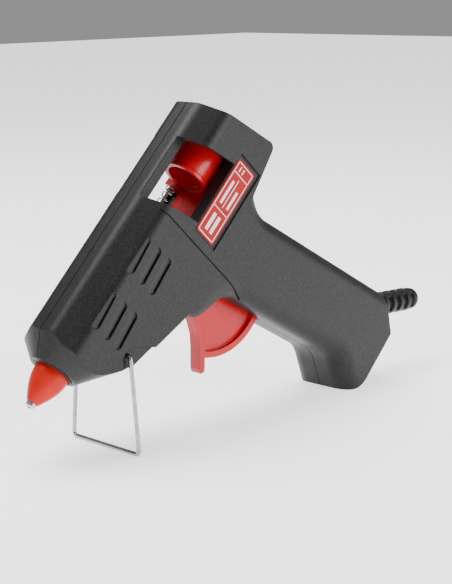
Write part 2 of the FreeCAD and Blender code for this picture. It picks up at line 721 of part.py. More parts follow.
filmOut = size("filmThick")
filmTall = size("heaterThick") / 2 + size("plateSheet") + 0.03
filmHalf = size("heaterWidth") / 2 + 0.03
filmOuter = box("film_outer", 29, 55, -filmHalf - filmOut, filmHalf + filmOut,
                size("heaterZ") - filmTall - filmOut, size("heaterZ") + filmTall + filmOut)
filmInner = box("film_inner", 28, 56, -filmHalf, filmHalf, size("heaterZ") - filmTall,
                size("heaterZ") + filmTall)
node(cut("insulation_film_solid", filmOuter, [filmInner]), "insulation_film", barrelFrame)

clipOuter = box("clip_outer", 34, 46, -7 - seatGap - size("clipSheet"),
                seatGap + 7 + size("clipSheet"), -13 - seatGap - size("clipSheet"), -5)
clipInner = box("clip_inner", 33, 47, -7 - seatGap, seatGap + 7, -13 - seatGap, 0)
node(cut("heater_clip_solid", clipOuter, [clipInner]), "heater_clip", barrelFrame)

sleeve = new_body("inlet_sleeve")
revolve(sleeve, [
    (61, size("stubR") + seatGap), (61, size("sleeveR")), (79, size("sleeveR")), (79, 4.7),
    (70, 4.0), (size("stubEnd") + 0.1, 4.0), (size("stubEnd") + 0.1, size("stubR") + seatGap)])
node(sleeve, "inlet_sleeve", barrelFrame)

clampBand = cylinder("clamp_band", size("sleeveR") + 0.7, 4, 62, 0, 0, ALONG_X)
clampEar = box("clamp_ear", 62.5, 65.5, -1.6, 1.6, 6, 9.2)
clampCore = cylinder("clamp_core", size("sleeveR") + seatGap, 6, 61, 0, 0, ALONG_X)
clampSlit = box("clamp_slit", 60, 68, -0.3, 0.3, 5, 10)
node(cut("sleeve_clamp_solid", fused("clamp_outer", [clampBand, clampEar]),
         [clampCore, clampSlit]), "sleeve_clamp", barrelFrame)

# ---------------------------------------------------------------- trigger and carriage

carriageFront = size("carriageFront")
carriageRear = carriageFront + size("carriageLength")
carriageR = size("carriageR")
gripR = size("gripR")
gripFront = carriageFront + 4.6
carriageTube = new_body("carriage_tube")
revolve(carriageTube, [
    (carriageFront, 6.5), (carriageFront, carriageR + 0.4), (carriageFront + 1.2, carriageR + 0.4),
    (carriageFront + 1.7, carriageR), (carriageRear - 0.6, carriageR),
    (carriageRear, carriageR - 0.6), (carriageRear, 5.6), (carriageRear - 1.6, 4.1),
    (carriageRear - 2.0, 4.1), (carriageRear - 2.0, gripR + seatGap),
    (gripFront, gripR + seatGap), (gripFront, 4.1), (gripFront - 1.2, 4.1),
    (gripFront - 1.2, 6.2)])
gripRing = new_body("grip_ring")
revolve(gripRing, [
    (gripFront + 0.1, size("gripBore")), (gripFront + 0.1, gripR),
    (carriageRear - 2.1, gripR), (carriageRear - 2.1, size("gripBore"))])

plateTop = size("plateTop")
plateLow = plateTop - size("plateThick")
basePlate = box("base_plate", size("plateFront"), 108, -size("plateHalf"), size("plateHalf"),
                plateLow, plateTop)
cradle = box("ring_cradle", carriageFront + 1.7, 108, -5, 5, plateTop - 0.1, -5.6)
armAt = size("pivotX") + size("armLength") * sin(size("armRest"))
armUp = size("pivotZ") + size("armLength") * cos(size("armRest"))
tipX = armAt * cos(size("stickTilt")) - (armUp - size("stickZ")) * sin(size("stickTilt"))
forkHalf = size("armTipR") + size("forkGap")
forkLugs = []
for side in (-1, 1):
    lugStart = tipX + forkHalf if side > 0 else tipX - forkHalf - 2
    forkLugs.append(box("fork_lug_%d" % (side + 1), lugStart, lugStart + 2, -5, 5, -12.0,
                        plateLow + 0.1))
springLug = box("spring_lug", size("springRear"), size("springRear") + 3, 6, 11.6, plateLow,
                size("springZ") + 2.2)
carriageAll = fused("carriage_all", [carriageTube, basePlate, cradle, springLug] + forkLugs)
gripSpace = cylinder("grip_space", gripR + seatGap, carriageRear - 2.0 - gripFront, gripFront, 0, 0,
                     ALONG_X)
cupSpace = cylinder("cup_space", 6.2, 5, gripFront - 6.2, 0, 0, ALONG_X)
node(cut("carriage_solid", carriageAll, [gripSpace, cupSpace]), "carriage", barrelFrame)
node(gripRing, "grip_ring", barrelFrame)

pivotX = size("pivotX")
pivotZ = size("pivotZ")
triggerHalf = size("triggerHalf")


def trigger_disc(label, radius, half):
    return cylinder(label, radius, dim(half) * 2, pivotX, -dim(half), pivotZ, ALONG_Y)


def sector(label, first, last, half):
    """A wedge of the trigger's circle between two angles."""
    far = 40
    mid = (first + last) / 2
    return side_prism(label, [
        (pivotX, pivotZ), (pivotX + cos(first) * far, pivotZ + sin(first) * far),
        (pivotX + cos(mid) * far * 1.3, pivotZ + sin(mid) * far * 1.3),
        (pivotX + cos(last) * far, pivotZ + sin(last) * far)], half)


arcTube = cut("arc_tube", trigger_disc("arc_outer", size("arcR"), triggerHalf),
              [trigger_disc("arc_inner", size("arcR") - size("arcRib"), triggerHalf + 1)])
arcRib = common("arc_rib", [arcTube, sector("arc_sector", 208, 284, triggerHalf + 1)])
webPlate = common("web_plate", [trigger_disc("web_disc", size("arcR") - 0.5, size("webHalf")),
                                sector("web_sector", 208, 284, triggerHalf)])
fingerBar = side_prism("finger_bar", [
    (65.2, -34), (61.9, -39.4, 6), (59.1, -44.4, 6), (55.7, -48.0, 6), (50.2, -53.2, 1),
    (49.4, -54.9, 0.4), (51.2, -55.6, 0.4), (55.2, -52.2, 6), (59.9, -47.7, 8), (63.6, -41.8, 8),
    (67.6, -34)], triggerHalf)
hub = trigger_disc("hub", 3.4, triggerHalf + 0.5)
bridge = side_prism("bridge", [(64, -35.2), (66.5, -32.6), (77.5, -36.2), (78.5, -41.5),
                                (72, -44), (62.6, -41)], triggerHalf - 0.6)
rimLow = sector("rim_low", 280.5, 284, triggerHalf)
rim = common("rim", [rimLow, trigger_disc("rim_disc", size("arcR") - 0.4, triggerHalf)])
armTip = cylinder("arm_tip", size("armTipR"), triggerHalf * 2, armAt, -triggerHalf, armUp, ALONG_Y)
armLean = size("armRest")
armWide = dim(3.0)
lever = side_prism("lever", [
    (pivotX - cos(armLean) * armWide, pivotZ + sin(armLean) * armWide),
    (pivotX + cos(armLean) * armWide, pivotZ - sin(armLean) * armWide),
    (armAt + cos(armLean) * 1.1, armUp - sin(armLean) * 1.1),
    (armAt - cos(armLean) * 1.1, armUp + sin(armLean) * 1.1)], triggerHalf - 0.5)
webFill = side_prism("web_fill", [(66.0, -35.0), (62.4, -42.5), (57.6, -48.6), (55.2, -51.2),
                                  (pivotX, pivotZ), (pivotX, pivotZ + 2)], size("webHalf"))
triggerAll = fused("trigger_all", [arcRib, webPlate, webFill, fingerBar, hub, bridge, rim, armTip, lever])
triggerBore = trigger_disc("trigger_bore", size("pinR") + size("runGap"), 5)
node(cut("trigger_solid", triggerAll, [triggerBore]), "trigger")

triggerPin = new_body("trigger_pin")
pinSketch = sketch_on(triggerPin, "XZ_Plane")
circle(pinSketch, pivotX, pivotZ, size("pinR") - size("pressGap"))
pad(triggerPin, pinSketch, halfWidth * 2 - 5.4)
node(triggerPin, "trigger_pin")

# ---------------------------------------------------------------- wire pieces


def rounded_path(label, points, radius):
    """A wire through the points with every inner corner rounded."""
    edges = []
    here = points[0]
    for i in range(1, len(points) - 1):
        back = (points[i - 1] - points[i]).normalize()
        onward = (points[i + 1] - points[i]).normalize()
        half = math.acos(back.dot(onward)) / 2
        reach = radius / math.tan(half)
        start = points[i] + back * reach
        end = points[i] + onward * reach
        centre = points[i] + (back + onward).normalize() * (radius / math.sin(half))
        middle = centre + (points[i] - centre).normalize() * radius
        edges.append(Part.makeLine(here, start))
        edges.append(Part.Arc(start, middle, end).toShape())
        here = end
    edges.append(Part.makeLine(here, points[-1]))
    path = doc.addObject("Part::Feature", label)
    path.Shape = Part.Wire(edges)
    return path


def wire_along(label, path, radius):
    """A round wire swept along a path."""
    first = path.Shape.OrderedEdges[0]
    ring = doc.addObject("Part::Circle", label + "_ring")
    bind(ring, "Radius", radius)
    turn = Rotation(Vector(0, 0, 1), first.tangentAt(first.FirstParameter))
    ring.Placement = Placement(first.valueAt(first.FirstParameter), turn)
    swept = doc.addObject("Part::Sweep", label)
    swept.Sections = [ring]
    swept.Spine = path
    swept.Solid = True
    swept.Frenet = False
    swept.Transition = "Round corner"
    return swept


leanRad = math.radians(SIZES["lean"])
legDown = Vector(-math.sin(leanRad), 0, -math.cos(leanRad)) * SIZES["standLeg"]
pivot = Vector(SIZES["standX"], 0, SIZES["standZ"])
legTop = Vector(0, SIZES["halfWidth"] - SIZES["legInset"], 0)
legFoot = Vector(0, SIZES["halfWidth"] + SIZES["standFlare"], 0)
legEnd = Vector(0, SIZES["halfWidth"] - SIZES["standGrip"], 0)
standPoints = [pivot - legEnd, pivot - legTop, pivot + legDown - legFoot,
               pivot + legDown + legFoot, pivot + legTop, pivot + legEnd]
standPath = rounded_path("stand_path", standPoints, 1.5)
node(wire_along("stand_solid", standPath, size("wireR")), "stand")

coilTurns = 9
springSpan = size("springRear") - size("springFront") - size("springWireR") * 2 - 0.1
helix = doc.addObject("Part::Helix", "spring_path")
bind(helix, "Radius", size("springR"))
bind(helix, "Pitch", springSpan / coilTurns)
bind(helix, "Height", springSpan)
springWire = doc.addObject("Part::Circle", "spring_wire")
bind(springWire, "Radius", size("springWireR"))
springWire.Placement = Placement(Vector(SIZES["springR"], 0, 0), Rotation(Vector(1, 0, 0), 90))
coil = doc.addObject("Part::Sweep", "spring_coil")
coil.Sections = [springWire]
coil.Spine = helix
coil.Solid = True
coil.Frenet = True
springSeat = Placement(Vector(SIZES["springFront"] + SIZES["springWireR"] + 0.05, SIZES["springY"],
                              SIZES["springZ"]), ALONG_X)
node(coil, "return_spring", barrelFrame.multiply(springSeat))

# ---------------------------------------------------------------- cord end and heater wiring

reliefR = size("reliefR")
reliefLength = size("reliefLength")
reliefBody = new_body("strain_relief_tube")
ribCount = 6
ribStep = (reliefLength - 5) / ribCount
reliefCorners = [(-5, size("cordR")), (-5, 5.5), (-3.4, 5.5), (-3.4, reliefR), (1.4, reliefR)]
ribR = size("reliefRibR")
for number in range(ribCount):
    start = ribStep * number + 1.4
    reliefCorners += [(start, ribR), (start + ribStep * 0.55, ribR),
                      (start + ribStep * 0.55, ribR - 1), (start + ribStep, ribR - 1)]
last = ribStep * ribCount + 1.4
reliefCorners += [(last, ribR - 0.2), (reliefLength, ribR - 0.6, 2.2),
                  (reliefLength, size("cordR"))]
revolve(reliefBody, reliefCorners)
node(reliefBody, "strain_relief", reliefFrame)

clampBar = box("clamp_bar", -12, -8, 0.05, 3.9, -6.8, 6.8)
clampTools = [cylinder("cord_space", 2.0, 10, -15, 0, 0, ALONG_X)]
clampScrews = []
for number, end in enumerate((-4.7, 4.7)):
    clampTools.append(cylinder("clamp_clear_%d" % number, 1.05, 8, -10, -1, end, ALONG_Y))
    clampScrews.append(cylinder("clamp_shank_%d" % number, 0.88, 9.9, -10, -6.0, end, ALONG_Y))
    head = cylinder("clamp_head_%d" % number, 1.8, 1.2, -10, 3.9, end, ALONG_Y)
    cross = [box("clamp_cross_a_%d" % number, -11.2, -8.8, 4.5, 6, end - 0.25, end + 0.25),
             box("clamp_cross_b_%d" % number, -10.25, -9.75, 4.5, 6, end - 1.2, end + 1.2)]
    clampScrews.append(cut("clamp_head_cut_%d" % number, head, cross))
node(cut("cord_clamp_solid", clampBar, clampTools), "cord_clamp", reliefFrame)
node(fused("cord_clamp_screws_solid", clampScrews), "cord_clamp_screws", reliefFrame)

leadStart = barrelFrame.multVec(Vector(60.6, 0, SIZES["heaterZ"]))
leads = []
crimps = []
down = Vector(math.sin(math.radians(SIZES["rake"])), 0, -math.cos(math.radians(SIZES["rake"])))
for side in (-1, 1):
    crimpTop = Vector(97.5, side * 6.0, -72)
    points = [leadStart + Vector(0, side * 3, side * 1.3), Vector(64, side * 5, -15),
              Vector(71, side * 10, -19), Vector(84, side * 10, -40), Vector(93, side * 8, -62),
              crimpTop - down * 3, crimpTop + down * 2.5]
    path = rounded_path("lead_path_%d" % (side + 1), points, 2.5)
    leads.append(wire_along("lead_%d" % (side + 1), path, size("leadR")))
    crimp = cylinder("crimp_%d" % (side + 1), size("crimpR"), size("crimpLength"), 0, 0, 0, ALONG_Y)
    crimp.Placement = Placement(crimpTop, Rotation(Vector(0, 0, 1), down))
    hole = cylinder("crimp_hole_%d" % (side + 1), size("leadR") + seatGap, 3, 0, 0, 0, ALONG_Y)
    hole.Placement = Placement(crimpTop, Rotation(Vector(0, 0, 1), down))
    crimps.append(cut("crimp_solid_%d" % (side + 1), crimp, [hole]))
heaterLeads = doc.addObject("Part::Compound", "heater_leads_solid")
heaterLeads.Links = leads
node(heaterLeads, "heater_leads")
crimpPair = doc.addObject("Part::Compound", "crimp_connectors_solid")
crimpPair.Links = crimps
node(crimpPair, "crimp_connectors")

# ---------------------------------------------------------------- screws and label

screws = []
for number, (x, z, floor, tail) in enumerate(SCREWS):
    shank = cylinder("shank_%d" % number, size("screwR") - size("pressGap"), floor + tail - 0.3, x,
                     0.3 - tail, z, ALONG_Y)
    head = cylinder("head_%d" % number, size("screwHeadR"), 1.8, x, floor, z, ALONG_Y)
    cross = [box("cross_a_%d" % number, x - 1.4, x + 1.4, floor + 0.8, floor + 3, z - 0.3,
                 z + 0.3),
             box("cross_b_%d" % number, x - 0.3, x + 0.3, floor + 0.8, floor + 3, z - 1.4,
                 z + 1.4)]
    screws.append(fused("screw_%d" % number, [shank, cut("head_cut_%d" % number, head, cross)]))
housingScrews = doc.addObject("Part::Compound", "housing_screws_solid")
housingScrews.Links = screws
node(housingScrews, "housing_screws")

labelFloor = size("labelRecess") - halfWidth
label = new_body("label")
labelSketch = sketch_on(label, "XZ_Plane")
outline(labelSketch, [
    (80.9, -8.2, 0.8), (size("labelLength") + 80.9, -8.2, 0.8),
    (size("labelLength") + 80.9, -8.2 - size("labelWidth"), 0.8),
    (80.9, -8.2 - size("labelWidth"), 0.8)])
pad(label, labelSketch, size("labelThick"), both_sides=False)
node(label, "label", Placement(Vector(0, labelFloor.value - SIZES["pressGap"], 0), Rotation()))

# ---------------------------------------------------------------- stand it up and export

doc.recompute()
for thing, name, frame in nodes:
    thing.Placement = standing.multiply(frame)
doc.recompute()
whole = FreeCAD.BoundBox()
for thing, name, frame in nodes:
    whole.add(thing.Shape.optimalBoundingBox(False, False))
shift = Vector(-whole.Center.x, 0, -whole.ZMin)
for thing, name, frame in nodes:
    thing.Placement.Base = thing.Placement.Base + shift
doc.recompute()

for thing in doc.Objects:
    if "Invalid" in thing.State or "Error" in thing.State:
        raise RuntimeError("%s did not recompute" % thing.Label)
os.makedirs("parts", exist_ok=True)
for thing, name, frame in nodes:
    if thing.Shape.isNull() or not thing.Shape.isValid():
        raise RuntimeError("%s is not a valid solid" % name)
    thing.Shape.exportStep("parts/%s.step" % name)
    print(name, len(thing.Shape.Solids), round(thing.Shape.Volume, 1))
print("shift", shift, "box", whole.XLength, whole.YLength, whole.ZLength)
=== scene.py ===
import bpy
import bmesh
import json
import math
from mathutils import Matrix, Quaternion, Vector


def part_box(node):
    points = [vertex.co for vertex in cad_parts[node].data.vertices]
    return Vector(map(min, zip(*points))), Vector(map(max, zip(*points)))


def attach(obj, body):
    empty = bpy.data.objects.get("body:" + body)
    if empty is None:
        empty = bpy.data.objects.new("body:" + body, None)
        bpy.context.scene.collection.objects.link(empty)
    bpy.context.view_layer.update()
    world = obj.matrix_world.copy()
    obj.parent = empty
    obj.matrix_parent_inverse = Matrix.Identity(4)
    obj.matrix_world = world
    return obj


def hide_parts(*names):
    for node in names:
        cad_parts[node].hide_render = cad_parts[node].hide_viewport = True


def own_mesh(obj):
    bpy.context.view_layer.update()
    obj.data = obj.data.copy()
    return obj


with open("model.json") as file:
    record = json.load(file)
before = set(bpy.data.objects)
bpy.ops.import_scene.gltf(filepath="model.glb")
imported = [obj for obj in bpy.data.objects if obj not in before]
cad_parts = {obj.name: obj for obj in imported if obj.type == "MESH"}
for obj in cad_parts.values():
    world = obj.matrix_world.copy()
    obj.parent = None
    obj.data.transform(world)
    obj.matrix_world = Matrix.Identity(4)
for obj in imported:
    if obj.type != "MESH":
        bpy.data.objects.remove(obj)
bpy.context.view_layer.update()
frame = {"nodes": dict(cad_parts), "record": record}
cadNodes = frame["nodes"]
record = frame["record"]
scene = bpy.context.scene
mm = 0.001

gunSettings = {"inletFromTip": 122.4, "reliefLength": 32.0, "lean": 45.9}


def mountNamed(name):
    return next(mount for mount in record["mounts"] if mount["name"] == name)


def frameAlong(origin, axis):  # X runs along the axis and Y stays square to the gun's side
    x = Vector(axis).normalized()
    y = Vector((0, 1, 0))
    z = x.cross(y).normalized()
    return Matrix.Translation(Vector(origin)) @ Matrix((x, y, z)).transposed().to_4x4()


inlet = mountNamed("stick_inlet")
stickAxis = Vector(inlet["axis"]).normalized()
tip = Vector(inlet["pos_m"]) - stickAxis * gunSettings["inletFromTip"] * mm
barrel = frameAlong(tip, stickAxis)
cordExit = mountNamed("cord_inlet")
cordAxis = Vector(cordExit["axis"]).normalized()
reliefStart = Vector(cordExit["pos_m"]) - cordAxis * gunSettings["reliefLength"] * mm
relief = frameAlong(reliefStart, cordAxis)
print("frames ready")


def linear(code):  # sRGB hex to linear RGBA
    values = []
    for i in (1, 3, 5):
        c = int(code[i:i + 2], 16) / 255
        values.append(c / 12.92 if c <= 0.04045 else ((c + 0.055) / 1.055) ** 2.4)
    return (*values, 1.0)


# Sets a node's sockets and properties. A key such as at6 is a socket's number, stops are a
# ramp's colours, a hex code is a colour and a socket given as a value is linked.
def tune(node, **settings):
    for name, value in settings.items():
        if name == "stops":
            for element, (place, colour) in zip(node.color_ramp.elements, value):
                element.position = place
                element.color = linear(colour)
            continue
        numbered = name.startswith("at") and name[2:].isdigit()
        key = int(name[2:]) if numbered else name.replace("_", " ")
        if not numbered and key not in node.inputs:
            setattr(node, name, value)
        elif isinstance(value, bpy.types.NodeSocket):
            node.id_data.links.new(value, node.inputs[key])
        else:
            node.inputs[key].default_value = linear(value) if isinstance(value, str) else value


def add(material, kind, **settings):
    node = material.node_tree.nodes.new("ShaderNode" + kind)
    tune(node, **settings)
    return node.outputs


def newMaterial(name, **settings):
    material = bpy.data.materials.new(name)
    material.use_nodes = True
    surface = material.node_tree.nodes["Principled BSDF"]
    tune(surface, **settings)
    return material, surface


# Black glass-filled nylon from a spark-eroded mould: a dull satin black with a fine pebble
# that breaks up the sheen, pale flecks, and a painted highlight that makes the edges paler.
def mouldedNylon(name, dark, light, fleckAndEdgeHighlight, pebble, rough):
    m, surface = newMaterial(name, Specular_IOR_Level=0.28)
    spot = add(m, "TexCoord")["Object"]
    cloud = add(m, "TexNoise", Vector=spot, Scale=1 / (9 * mm), Detail=4.0)["Fac"]
    fleck = add(m, "TexNoise", Vector=spot, Scale=1 / (0.55 * mm), Detail=3.0,
                Roughness=0.75)["Fac"]
    base = add(m, "ValToRGB", Fac=cloud, stops=((0.3, dark), (0.75, light)))["Color"]
    fleckShare = add(m, "MapRange", Value=fleck, From_Min=0.42, From_Max=0.72, To_Max=0.7)[0]
    flecked = add(m, "Mix", data_type="RGBA", at0=fleckShare, at6=base, at7=fleckAndEdgeHighlight)[2]
    # Painted highlight: where the bevelled normal turns away from the plain one, the colour is
    # mixed towards the pale fleck colour.
    softEdge = add(m, "Bevel", Radius=0.35 * mm)[0]
    plain = add(m, "NewGeometry")["Normal"]
    turn = add(m, "VectorMath", operation="DOT_PRODUCT", at0=softEdge, at1=plain)["Value"]
    paintedEdgeHighlightShare = add(m, "MapRange", Value=turn, From_Min=0.6, From_Max=0.99, To_Min=0.45,
                    To_Max=0.0)[0]
    tune(surface, Base_Color=add(m, "Mix", data_type="RGBA", at0=paintedEdgeHighlightShare, at6=flecked,
                                 at7=fleckAndEdgeHighlight)[2])
    tune(surface, Roughness=add(m, "MapRange", Value=cloud, To_Min=rough - 0.05,
                                To_Max=rough + 0.07)[0])
    swell = add(m, "TexNoise", Vector=spot, Scale=1 / (1.1 * mm), Detail=3.0)["Fac"]
    grain = add(m, "TexNoise", Vector=spot, Scale=1 / pebble, Detail=3.0, Roughness=0.7)["Fac"]
    coarse = add(m, "Bump", Height=swell, Distance=0.05 * mm, Strength=0.5, Normal=softEdge)[0]
    tune(surface, Normal=add(m, "Bump", Height=grain, Distance=0.08 * mm, Strength=0.8,
                             Normal=coarse)[0])
    return m


# Red gloss ABS, injection moulded: slight flow marks, an orange-peel ripple in the highlights
# and fine scuffs where the finger pulls.
def glossAbs(name, deep, bright, rough):
    m, surface = newMaterial(name, Specular_IOR_Level=0.3, Coat_Weight=0.06, Coat_Roughness=0.1,
                             Subsurface_Weight=0.06, Subsurface_Scale=2 * mm)
    spot = add(m, "TexCoord")["Object"]
    drawn = add(m, "Mapping", Vector=spot, Scale=(1.0, 1.0, 0.35))[0]
    flow = add(m, "TexNoise", Vector=drawn, Scale=1 / (7 * mm), Detail=3.0)["Fac"]
    tune(surface, Base_Color=add(m, "ValToRGB", Fac=flow, stops=((0.3, deep), (0.7, bright)))[0])
    rubbed = add(m, "Mapping", Vector=spot, Scale=(1.0, 1.0, 5.0))[0]
    scuff = add(m, "TexNoise", Vector=rubbed, Scale=1 / (0.6 * mm), Detail=5.0,
                Roughness=0.8)["Fac"]
    tune(surface, Roughness=add(m, "MapRange", Value=scuff, From_Min=0.35, From_Max=0.75,
                                To_Min=rough, To_Max=rough + 0.14)[0])
    softEdge = add(m, "Bevel", Radius=0.35 * mm)[0]
    peel = add(m, "TexNoise", Vector=spot, Scale=1 / (1.6 * mm), Detail=2.0)["Fac"]
    tune(surface, Normal=add(m, "Bump", Height=peel, Distance=0.02 * mm, Strength=0.3,
                             Normal=softEdge)[0])
    return m


# Moulded elastomers and dull fired or woven goods: even colour, a soft sheen and a dusty bloom.
def softRubber(name, deep, bright, rough, haze, through=0.0):
    m, surface = newMaterial(name, Specular_IOR_Level=0.25, Subsurface_Weight=through,
                             Subsurface_Scale=3 * mm)
    spot = add(m, "TexCoord")["Object"]
    cloud = add(m, "TexNoise", Vector=spot, Scale=1 / (4 * mm), Detail=4.0)["Fac"]
    bloom = add(m, "TexNoise", Vector=spot, Scale=1 / (0.7 * mm), Detail=5.0,
                Roughness=0.75)["Fac"]
    base = add(m, "ValToRGB", Fac=cloud, stops=((0.3, deep), (0.7, bright)))[0]
    bloomShare = add(m, "MapRange", Value=bloom, From_Min=0.5, From_Max=0.8, To_Max=0.25)[0]
    tune(surface, Base_Color=add(m, "Mix", data_type="RGBA", at0=bloomShare, at6=base,
                                 at7=haze)[2])
    tune(surface, Roughness=add(m, "MapRange", Value=cloud, To_Min=rough - 0.06,
                                To_Max=rough + 0.08)[0])
    softEdge = add(m, "Bevel", Radius=0.25 * mm)[0]
    skin = add(m, "TexNoise", Vector=spot, Scale=1 / (0.4 * mm), Detail=3.0)["Fac"]
    tune(surface, Normal=add(m, "Bump", Height=skin, Distance=0.03 * mm, Strength=0.4,
                             Normal=softEdge)[0])
    return m


# Drawn, turned or plated metal: bright, with fine tool lines and faint tarnish. The lines are
# drawn at a quarter of a millimetre, coarser than real ones, so that they show.
def workedMetal(name, deep, bright, rough, lineStretch, tarnish):
    m, surface = newMaterial(name, Metallic=1.0)
    spot = add(m, "TexCoord")["Object"]
    drawn = add(m, "Mapping", Vector=spot, Scale=lineStretch)[0]
    lines = add(m, "TexNoise", Vector=drawn, Scale=1 / (0.25 * mm), Detail=4.0,
                Roughness=0.6)["Fac"]
    cloud = add(m, "TexNoise", Vector=spot, Scale=1 / (3 * mm), Detail=4.0)["Fac"]
    base = add(m, "ValToRGB", Fac=lines, stops=((0.3, deep), (0.7, bright)))[0]
    dullShare = add(m, "MapRange", Value=cloud, From_Min=0.5, From_Max=0.8, To_Max=0.5)[0]
    tune(surface, Base_Color=add(m, "Mix", data_type="RGBA", at0=dullShare, at6=base,
                                 at7=tarnish)[2])
    tune(surface, Roughness=add(m, "MapRange", Value=cloud, To_Min=rough, To_Max=rough + 0.12)[0])
    softEdge = add(m, "Bevel", Radius=0.15 * mm)[0]
    tune(surface, Normal=add(m, "Bump", Height=lines, Distance=0.01 * mm, Strength=0.35,
                             Normal=softEdge)[0])
    return m


# Printed or tinted film: flat colour under a thin clear coat, with a slight ripple.
def printedFilm(name, deep, bright):
    m, surface = newMaterial(name, Specular_IOR_Level=0.16, Coat_Weight=0.03, Coat_Roughness=0.25)
    spot = add(m, "TexCoord")["Object"]
    cloud = add(m, "TexNoise", Vector=spot, Scale=1 / (5 * mm), Detail=4.0)["Fac"]
    tune(surface, Base_Color=add(m, "ValToRGB", Fac=cloud, stops=((0.3, deep), (0.7, bright)))[0])
    rub = add(m, "TexNoise", Vector=spot, Scale=1 / (0.5 * mm), Detail=4.0, Roughness=0.7)["Fac"]
    tune(surface, Roughness=add(m, "MapRange", Value=rub, To_Min=0.3, To_Max=0.45)[0])
    ripple = add(m, "TexNoise", Vector=spot, Scale=1 / (0.8 * mm), Detail=3.0)["Fac"]
    tune(surface, Normal=add(m, "Bump", Height=ripple, Distance=0.01 * mm, Strength=0.3)[0])
    return m


looks = {
    "housing": mouldedNylon("black glass-filled nylon", "#0b0b0c", "#111112", "#303031",
                            0.45 * mm, 0.42),
    "red_plastic": glossAbs("red gloss ABS", "#b4000e", "#c00113", 0.22),
    "silicone": softRubber("red silicone", "#b80f00", "#c41502", 0.38, "#cc3a24", 0.06),
    "nozzle_metal": workedMetal("turned nickel brass", "#b9b6b0", "#e6e4df", 0.16,
                                (6.0, 0.6, 0.6), "#8b8377"),
    "collar_resin": mouldedNylon("black phenolic", "#0e0e0f", "#171717", "#2b2a29",
                                 0.35 * mm, 0.45),
    "cast_alloy": workedMetal("die-cast aluminium", "#8f9092", "#b5b6b8", 0.42,
                              (1.0, 1.0, 1.0), "#6f6f70"),
    "ceramic": softRubber("fired ceramic", "#b9b5ac", "#cfccc4", 0.6, "#e2dfd8"),
    "contact_brass": workedMetal("rolled brass", "#a4803a", "#d1ab5e", 0.28, (0.5, 5.0, 1.0),
                                 "#7a5c2a"),
    "amber_film": printedFilm("polyimide film", "#a3590f", "#c97a1b"),
    "spring_steel": workedMetal("drawn spring steel", "#9a9b9e", "#dadbde", 0.2,
                                (3.0, 3.0, 0.5), "#6d6a66"),
    "clear_silicone": softRubber("milky silicone", "#c9c5bb", "#dedbd2", 0.4, "#f0eee8", 0.3),
    "screw_steel": workedMetal("zinc-plated steel", "#7f8184", "#b0b2b5", 0.3, (1.0, 4.0, 1.0),
                               "#5b5a57"),
    "label_print": printedFilm("red printed vinyl", "#a0000a", "#aa020e"),
    "black_rubber": softRubber("black PVC", "#161617", "#1f1f21", 0.4, "#4a494a"),
    "lead_sleeving": softRubber("woven glass sleeving", "#bdb8aa", "#d8d4c8", 0.75, "#efece4"),
    "grip_rubber": softRubber("grip rubber", "#161616", "#202021", 0.6, "#3c3b3b"),
    "stand_wire": workedMetal("drawn stand wire", "#77787b", "#c0c1c4", 0.18, (0.6, 3.0, 0.6),
                              "#75726c"),
}
whiteInk = printedFilm("white label ink", "#dcd6d4", "#f1edeb")

for part in record["subparts"]:
    node = cadNodes[part["node"]]
    node.data.materials.clear()
    node.data.materials.append(looks[part["material_slot"]])
print("materials ready")


def finish(name, mesh, slot, material=None, smooth=True):  # a piece that rides on the housing
    bmesh.ops.recalc_face_normals(mesh, faces=mesh.faces)
    data = bpy.data.meshes.new(name)
    mesh.to_mesh(data)
    mesh.free()
    data.materials.append(material or looks[slot])
    for face in data.polygons:
        face.use_smooth = smooth
    piece = bpy.data.objects.new(name, data)
    scene.collection.objects.link(piece)
    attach(piece, "housing")
    return piece


# Spins a closed outline of (x, radius) points in millimetres round the X axis of a frame.
# newRadius, if given, reshapes it by place, radius and angle.
def turned(profile, place, steps, newRadius):
    mesh = bmesh.new()
    points = [mesh.verts.new((x, radius, 0)) for x, radius in profile]
    sides = [mesh.edges.new(pair) for pair in zip(points, points[1:] + points[:1])]
    bmesh.ops.spin(mesh, geom=points + sides, cent=(0, 0, 0), axis=(1, 0, 0),
                   angle=2 * math.pi, steps=steps, use_merge=True)
    for vert in mesh.verts:
        radius = math.hypot(vert.co.y, vert.co.z)
        share = newRadius(vert.co.x, radius, math.atan2(vert.co.z, vert.co.y)) / radius
        vert.co.y *= share
        vert.co.z *= share
    bmesh.ops.transform(mesh, matrix=place @ Matrix.Scale(mm, 4), verts=mesh.verts)
    return mesh


coverSettings = {"front": 1.6, "length": 14.1, "noseR": 1.95, "swell": 4.2, "reach": 11.2,
                 "blunt": 1.75, "seam": 0.05, "seamWidth": 0.02, "points": 40, "steps": 128,
                 "rear": [(15.9, 6.1), (16.0, 5.9), (16.0, 4.75), (15.9, 4.66)],
                 "bore": [(10.1, 4.66), (8.0, 3.68), (2.1, 1.9), (1.62, 1.85), (1.6, 1.88)]}


def coverRadius(x):  # a blunt ogive that runs out straight
    s = coverSettings
    reach = min(max((x - s["front"]) / s["reach"], 0.0), 1.0)
    return s["noseR"] + s["swell"] * (1 - (1 - reach) ** s["blunt"])


def coverProfile():
    s = coverSettings
    outer = [(s["front"] + 0.1, s["noseR"])]
    for i in range(s["points"] + 1):
        x = s["front"] + 0.25 + s["length"] * i / s["points"]
        outer.append((x, coverRadius(x)))
    return outer + s["rear"] + s["bore"]


def coverSeam(x, radius, angle):  # a faint mould line on the outside
    s = coverSettings
    inside = radius < 5 and x > 3 and radius < coverRadius(x) - 0.4
    line = math.exp(-(math.cos(angle) / s["seamWidth"]) ** 2)
    return radius if inside else radius + s["seam"] * line


cover = finish("nozzleCover", turned(coverProfile(), barrel, coverSettings["steps"], coverSeam),
               "silicone")
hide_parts("nozzle_cover")


